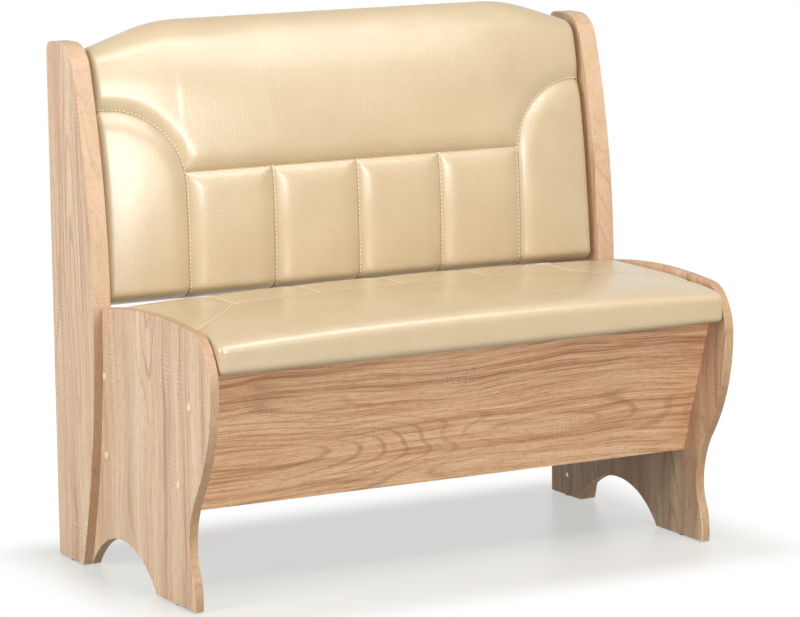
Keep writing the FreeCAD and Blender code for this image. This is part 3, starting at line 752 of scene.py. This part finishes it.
def seat_form(points):
    """Turns the seat's rounded box into its pad: crown, falling front and rear, overhang over the hinges."""
    form = bpy.context.scene.bench_seat
    low, high = points.min(0), points.max(0)
    depth = rear_y - points[:, 1]
    width_share = np.abs(points[:, 0]) / high[0]
    crown = form.crown * (1 - width_share ** 2.4)
    fall_start, rear_run = 0.39, 70 * MM
    fall = form.front_fall * np.clip((depth - fall_start) / (rear_y - low[1] - fall_start), 0.0, 1.0) ** 1.8
    rear = form.rear_fall * np.clip((points[:, 1] - high[1]) / rear_run + 1, 0.0, 1.0) ** 2
    top = form.end_top + crown - fall - rear
    shaped = points.copy()
    shaped[:, 2] = low[2] + (points[:, 2] - low[2]) * (top - low[2]) / (high[2] - low[2])
    hang_run, hang_low, hang_high = 0.03, 0.412, 0.434
    near_rear = smooth_step(points[:, 1], high[1] - hang_run, high[1])
    below = 1 - smooth_step(shaped[:, 2], hang_low, hang_high)
    shaped[:, 1] -= form.rear_hang * below * near_rear
    return shaped


class BENCH_OT_seat_pad(bpy.types.Operator):
    """Sewn pad of the seat, with its stitches."""

    bl_idname = "bench.seat_pad"
    bl_label = "Seat pad"

    def execute(self, context):
        look, form = context.scene.bench_pads, context.scene.bench_seat
        across, runs, corners = seat_seams()
        seams = across + runs + corners
        bottom = seat_board_low.z - 0.2 * MM
        cross_y = rear_y - form.seam_depth_place
        step = look.mesh_step
        xs = grid_lines(
            seat_low.x - form.proud, seat_high.x + form.proud, step,
            np.linspace(-form.seam_half, form.seam_half, 5), form.end_round, form.end_round,
        )
        ys = grid_lines(
            seat_low.y - 2 * form.proud, seat_high.y, step, (cross_y,), form.front_round, form.rear_round
        )
        zs = grid_lines(bottom, form.end_top, step, (), form.under_round, form.front_round)
        points, faces = block(xs, ys, zs)
        points = rounded(points, (
            (form.end_round, form.end_round),
            (form.front_round, form.rear_round),
            (form.under_round, form.front_round),
        ))
        points = seat_form(points)
        leather = bpy.data.materials.get("pearl_faux_leather") or faux_leather()
        piece = make_piece("seat_pad_cover", points, faces, leather)
        on_top = normals_of(piece.data)[:, 2] > 0.35
        near = distance_to(seams, points[:, :2])
        valley = np.where(on_top, look.seam_depth * 0.25 * np.exp(-(near / (18 * MM)) ** 2), 0.0)
        points[:, 2] -= valley
        piece.data.vertices.foreach_set("co", points.ravel())
        piece.data.update()
        sewn = (points[:, 2] < seat_board_high.z) | (on_top & (near < 1.5 * MM))
        inflate(piece, sewn, look.swell * 0.3, np.array((0.0, 0.0, 1.0)))
        subdivide(piece)

        def to_seams(points, normals):
            return np.where(normals[:, 2] > 0.2, distance_to(seams, points[:, :2]), 1.0)

        sew(piece, to_seams, 0.6)
        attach(piece, "seat_lid")
        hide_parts("seat_cushion")
        rows = [beside(path, -look.row_aside) for path in across + runs + corners]
        thread = stitch_rows(
            "seat_stitches", rows, piece, lambda flat: Vector((flat[0], flat[1], 1.0)), Vector((0, 0, -1)),
            look.thread_size * 0.6,
        )
        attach(thread, "seat_lid")
        return {"FINISHED"}


# Back

def back_space():
    """From the plane of the back's board, base edge on X, to the bench."""
    form = bpy.context.scene.bench_back
    place = Matrix.Translation((0.0, rear_y - form.base_depth, form.base_height))
    return place @ Matrix.Rotation(-form.lean, 4, "X")


def back_top(x):
    """Height of the back's top edge above its base: flat middle, then a bend and a straight fall."""
    form = bpy.context.scene.bench_back
    past = np.clip(np.abs(x) - form.flat_half, 0.0, None)
    bend = np.minimum(past, form.fall_bend)
    return form.rise - math.tan(form.fall) * (bend ** 2 / (2 * form.fall_bend) + past - bend)


def back_fullness(points):
    """Extra thickness of the back's face: fullest at the small of the back, less towards its ends."""
    form = bpy.context.scene.bench_back
    along = np.clip((points[:, 2] - form.lumbar_rise) / form.lumbar_reach, -1.0, 1.0)
    full_half = form.seam_half * 0.85
    aside = np.clip((np.abs(points[:, 0]) - full_half) / (form.half - full_half), 0.0, 1.0)
    share = np.clip(-points[:, 1] / form.foam, 0.0, 1.0)
    ends, ends_less, ends_set_in = aside ** 1.6, 0.6, 3 * MM
    return share * (form.lumbar * (1 - along ** 2) ** 1.5 * (1 - ends_less * ends) - ends_set_in * ends)


def back_seams():
    """Seams of the back as flat paths in X and height above its base."""
    form = bpy.context.scene.bench_back
    half, radius = form.seam_half, form.corner_radius
    across = [np.array([[-half, form.seam_rise], [half, form.seam_rise]])]
    runs = [np.array([[x, 0.0], [x, form.seam_rise]]) for x in np.linspace(-half, half, 5)[1:-1]]
    corners = []
    for sign in (-1, 1):
        centre = np.array([sign * (half + radius), form.corner_rise - radius])
        turns = np.linspace(0.0, math.pi / 2, 40)
        arc = centre + np.stack([-sign * np.cos(turns), np.sin(turns)], 1) * radius
        foot = np.array([[sign * half, 0.0]])
        end = np.array([[sign * (form.half + form.end_round), form.corner_rise]])
        corners.append(np.concatenate([foot, arc, end]))
    return across, runs, corners


class BENCH_OT_back_pad(bpy.types.Operator):
    """Sewn pad of the back, with its stitches."""

    bl_idname = "bench.back_pad"
    bl_label = "Back pad"

    def execute(self, context):
        look, form = context.scene.bench_pads, context.scene.bench_back
        across, runs, corners = back_seams()
        seams = across + runs + corners
        skin = 0.6 * MM
        edge = 0.6 * MM
        front_round = form.foam - 1 * MM
        step = look.mesh_step
        xs = grid_lines(
            -form.half, form.half, step, np.linspace(-form.seam_half, form.seam_half, 5),
            form.end_round, form.end_round,
        )
        ys = grid_lines(-form.foam, form.board + skin, step, (), front_round, edge)
        zs = grid_lines(0.0, form.rise, step, (form.seam_rise,), form.base_round, form.top_round)
        points, faces = block(xs, ys, zs)
        points = rounded(points, (
            (form.end_round, form.end_round), (front_round, edge), (form.base_round, form.top_round),
        ))
        straight = form.corner_rise + 20 * MM
        above = np.clip((points[:, 2] - straight) / (form.rise - straight), 0.0, None)
        points[:, 2] += above * (back_top(points[:, 0]) - form.rise)
        points[:, 1] -= back_fullness(points)
        leather = bpy.data.materials.get("pearl_faux_leather") or faux_leather()
        piece = make_piece("back_pad_cover", points, faces, leather)
        in_front = normals_of(piece.data)[:, 1] < -0.3
        flat = points[:, [0, 2]]
        near = distance_to(seams, flat)
        points[:, 1] += np.where(in_front, look.seam_depth * 1.5 * np.exp(-(near / (16 * MM)) ** 2), 0.0)
        piece.data.vertices.foreach_set("co", points.ravel())
        piece.data.update()
        sewn = (points[:, 1] > 0.0) | (in_front & (near < 1.5 * MM))
        inflate(piece, sewn, look.swell, np.array((0.0, -1.0, 0.0)))
        subdivide(piece)

        def to_seams(points, normals):
            return np.where(normals[:, 1] < -0.2, distance_to(seams, points[:, [0, 2]]), 1.0)

        sew(piece, to_seams, 1.0)
        rows = [beside(path, -look.row_aside) for path in runs]
        rows += [beside(path, side * look.row_aside) for path, side in zip(corners, (-1, 1))]
        thread = stitch_rows(
            "back_stitches", rows, piece, lambda flat: Vector((flat[0], -1.0, flat[1])), Vector((0, 1, 0)),
            look.thread_size,
        )
        for made in (piece, thread):
            made.data.transform(back_space())
            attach(made, "bench_frame")
        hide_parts("back_cushion")
        return {"FINISHED"}


# Boards and fittings

class BENCH_OT_boards(bpy.types.Operator):
    """Laminate of the boards: upright grain on the sides, level grain on the box."""

    bl_idname = "bench.boards"
    bl_label = "Laminated boards"

    def execute(self, context):
        look = context.scene.bench_boards
        upright = (look.dark, look.pink, look.yellow, look.pale)
        # The box takes the deeper copy of the oak tones: partly painted shade on its front-facing boards
        level = (look.level_dark, look.level_pink, look.level_yellow, look.level_pale)
        soft, lively = ((0.44, 0.34, 0.22), 0.15), ((0.28, 0.34, 0.38), 0.10)
        # The low sides' waved edges take the darker band, which paints shade on them
        dress(LOW_SIDES, oak_laminate("oak_laminate_sides", (2, 1, 0), upright, look.wave_band, 0.45, *soft))
        dress(TALL_BOARDS, oak_laminate("oak_laminate_uprights", (2, 1, 0), upright, look.band, 0.45, *soft))
        dress(LEVEL_BOARDS, oak_laminate("oak_laminate_box", (0, 2, 1), level, look.band, 0.3, *lively))
        return {"FINISHED"}


class BENCH_OT_inner_pieces(bpy.types.Operator):
    """Boards inside the pads, battens, bottom sheet and linings."""

    bl_idname = "bench.inner_pieces"
    bl_label = "Inner pieces"

    def execute(self, context):
        # Chipboard: pressed chips in several browns
        dress(
            ("seat_board", "back_board"),
            speckled(
                "raw_chipboard", ("#A98A5E", "#CDB184", "#8E7048"), 4 * MM, (1.0, 1.0, 0.4), 0.8, 0.3 * MM
            ),
        )
        # Planed softwood: long pale fibres
        dress(
            ("bottom_batten_front", "bottom_batten_rear"),
            speckled("planed_pine", ("#C79A5E", "#E0BE86"), 3 * MM, (60.0, 1.0, 1.0), 0.6, 0.2 * MM),
        )
        # Hardboard: brown pressed fibre, smooth on its upper face
        dress(
            ("box_bottom_sheet",),
            speckled(
                "smooth_hardboard", ("#6B4A2E", "#7C5838", "#5A3D25"), 2 * MM, (2.0, 2.0, 1.0), 0.5, 0.1 * MM
            ),
        )
        # Spunbond: black bonded fibre, matt
        dress(
            ("seat_lining", "back_lining"),
            speckled("spunbond_lining", ("#1C1C1C", "#2B2B2B"), 1.5 * MM, (1.0, 1.0, 1.0), 0.9, 0.2 * MM),
        )
        return {"FINISHED"}


class BENCH_OT_fittings(bpy.types.Operator):
    """Steel fittings, screw caps and floor glides."""

    bl_idname = "bench.fittings"
    bl_label = "Fittings"

    def execute(self, context):
        dress(STEEL, zinc_steel())
        # Moulded polyethylene caps: cream, waxy
        dress(
            ("screw_caps_left", "screw_caps_right"),
            speckled("cream_cap_plastic", ("#EFD0AE", "#F6DDBE"), 3 * MM, (1.0, 1.0, 1.0), 0.4, 0.02 * MM),
        )
        # Moulded polypropylene glides: black, scuffed
        dress(
            ("floor_glides_left", "floor_glides_right"),
            speckled("black_glide_plastic", ("#141414", "#1F1F1E"), 2 * MM, (1.0, 1.0, 1.0), 0.5, 0.05 * MM),
        )
        return {"FINISHED"}


# Stage

def aim(place, target):
    return (Vector(target) - Vector(place)).to_track_quat("-Z", "Y").to_euler()


def softbox(name, place, target, size, power):
    lamp = bpy.data.lights.new(name, "AREA")
    lamp.shape = "RECTANGLE"
    lamp.size, lamp.size_y = size
    lamp.energy = power
    made = bpy.data.objects.new(name, lamp)
    made.location = place
    made.rotation_euler = aim(place, target)
    bpy.context.scene.collection.objects.link(made)
    return made


def seen_by_camera(tree):
    """1 for rays from the camera, also by way of gloss or glass, and 0 for light that falls on the bench."""
    rays = node(tree, "ShaderNodeLightPath").outputs
    seen = rays["Is Camera Ray"]
    for kind in ("Is Glossy Ray", "Is Transmission Ray"):
        seen = node(
            tree, "ShaderNodeMath", {"operation": "MAXIMUM"}, None, {0: seen, 1: rays[kind]}
        ).outputs[0]
    return seen


class BENCH_OT_stage(bpy.types.Operator):
    """Pale floor, soft lamps and the camera."""

    bl_idname = "bench.stage"
    bl_label = "Stage"

    def execute(self, context):
        scene, settings = context.scene, context.scene.bench_stage
        scene.view_settings.view_transform = "Standard"

        lens = bpy.data.cameras.new("bench_camera")
        lens.lens = settings.lens
        lens.sensor_width = 36.0
        lens.clip_end = 100.0
        camera = bpy.data.objects.new("bench_camera", lens)
        upright = Euler((math.pi / 2 - settings.camera_pitch, 0.0, -settings.camera_yaw)).to_matrix()
        roll = Matrix.Rotation(-settings.camera_roll, 3, "Z")
        camera.matrix_world = Matrix.Translation(settings.camera_place) @ (upright @ roll).to_4x4()
        scene.collection.objects.link(camera)
        scene.camera = camera

        # Painted studio floor, satin. Seen by the camera it is grey beside the bench, painted shade around
        # the bench over the lamps' real shadow that shows on it, lifted there by a share of glowing white,
        # and glowing plain white away from it; the light it throws back is that of a darker grey
        material, tree, shader = new_material("painted_studio_floor")
        place = node(tree, "ShaderNodeTexCoord").outputs["Object"]
        haze = node(
            tree, "ShaderNodeTexNoise", None, {"Scale": 1.5, "Detail": 2.0}, {"Vector": place}
        ).outputs[0]
        rough = node(
            tree, "ShaderNodeMapRange", None, {1: 0.3, 2: 0.7, 3: 0.28, 4: 0.36}, {0: haze}
        ).outputs[0]
        tree.links.new(rough, shader.inputs["Roughness"])
        spread = node(tree, "ShaderNodeVectorMath", {"operation": "ABSOLUTE"}, None, {0: place}).outputs[0]
        outside = node(
            tree, "ShaderNodeVectorMath", {"operation": "SUBTRACT"}, {1: (cad_high.x, cad_high.y, 0.0)},
            {0: spread},
        ).outputs[0]
        beyond = node(
            tree, "ShaderNodeVectorMath", {"operation": "MAXIMUM"}, {1: (0.0, 0.0, 0.0)}, {0: outside}
        ).outputs[0]
        away = node(tree, "ShaderNodeVectorMath", {"operation": "LENGTH"}, None, {0: beyond}).outputs["Value"]
        # Share of glowing white by distance from the bench: part of it beside the bench, which paints light
        # into the shadow, and all of it further away
        plain = node(
            tree, "ShaderNodeMapRange", {"interpolation_type": "SMOOTHSTEP"},
            {1: settings.shadow_near, 2: settings.shadow_far, 3: settings.shadow_lift, 4: 1.0}, {0: away},
        ).outputs[0]
        seen = seen_by_camera(tree)
        tint = node(
            tree, "ShaderNodeMix", {"data_type": "RGBA"}, {6: settings.floor_glow, 7: settings.floor},
            {0: seen},
        ).outputs[2]
        tree.links.new(tint, shader.inputs["Base Color"])
        share = node(tree, "ShaderNodeMath", {"operation": "MULTIPLY"}, None, {0: plain, 1: seen}).outputs[0]
        white = node(tree, "ShaderNodeEmission", None, {"Color": (1, 1, 1, 1), "Strength": 1.0}).outputs[0]
        surface = node(
            tree, "ShaderNodeMixShader", None, None, {0: share, 1: shader.outputs[0], 2: white}
        ).outputs[0]
        output = next(n for n in tree.nodes if n.type == "OUTPUT_MATERIAL")
        tree.links.new(surface, output.inputs["Surface"])
        reach = 14.0
        floor = make_piece(
            "studio_floor", [(-reach, -reach, 0), (reach, -reach, 0), (reach, reach, 0), (-reach, reach, 0)],
            [(0, 1, 2, 3)], material,
        )

        world = bpy.data.worlds.new("studio_world")
        world.use_nodes = True
        tree = world.node_tree
        tree.nodes.clear()
        seen = seen_by_camera(tree)
        strength = node(
            tree, "ShaderNodeMapRange", None, {1: 0.0, 2: 1.0, 3: settings.sky, 4: 1.0}, {0: seen}
        ).outputs[0]
        sky = node(tree, "ShaderNodeBackground", None, {"Color": (1, 1, 1, 1)}, {"Strength": strength})
        node(tree, "ShaderNodeOutputWorld", links={"Surface": sky.outputs[0]})
        scene.world = world

        middle = (0.0, 0.0, 0.5)
        softbox("left_softbox", (-3.2, -0.4, 1.5), middle, (1.6, 1.6), 74.0)
        softbox("front_softbox", (0.05, -3.4, 1.3), middle, (0.7, 1.2), 55.0)
        softbox("upper_softbox", (0.4, -1.8, 2.9), middle, (2.4, 1.4), 66.0)
        return {"FINISHED"}


class BENCH_PT_sidebar(bpy.types.Panel):
    """Lists the bench's pieces."""

    bl_label = "Padded storage bench"
    bl_idname = "BENCH_PT_sidebar"
    bl_space_type = "VIEW_3D"
    bl_region_type = "UI"
    bl_category = "Bench"

    def draw(self, context):
        for operator in OPERATORS:
            self.layout.operator(operator.bl_idname)


SETTINGS = {
    "bench_boards": BenchBoardSettings,
    "bench_pads": BenchPadSettings,
    "bench_seat": BenchSeatSettings,
    "bench_back": BenchBackSettings,
    "bench_stage": BenchStageSettings,
}
OPERATORS = (
    BENCH_OT_stage, BENCH_OT_boards, BENCH_OT_inner_pieces, BENCH_OT_fittings, BENCH_OT_seat_pad,
    BENCH_OT_back_pad,
)


def register():
    for made in (*SETTINGS.values(), *OPERATORS, BENCH_PT_sidebar):
        bpy.utils.register_class(made)
    for name, group in SETTINGS.items():
        setattr(bpy.types.Scene, name, PointerProperty(type=group))


def unregister():
    for name in SETTINGS:
        delattr(bpy.types.Scene, name)
    for made in (BENCH_PT_sidebar, *reversed(OPERATORS), *SETTINGS.values()):
        bpy.utils.unregister_class(made)


def main():
    register()
    bpy.ops.bench.stage()
    bpy.ops.bench.boards()
    bpy.ops.bench.inner_pieces()
    bpy.ops.bench.fittings()
    bpy.ops.bench.seat_pad()
    bpy.ops.bench.back_pad()


if __name__ == "__main__":
    main()
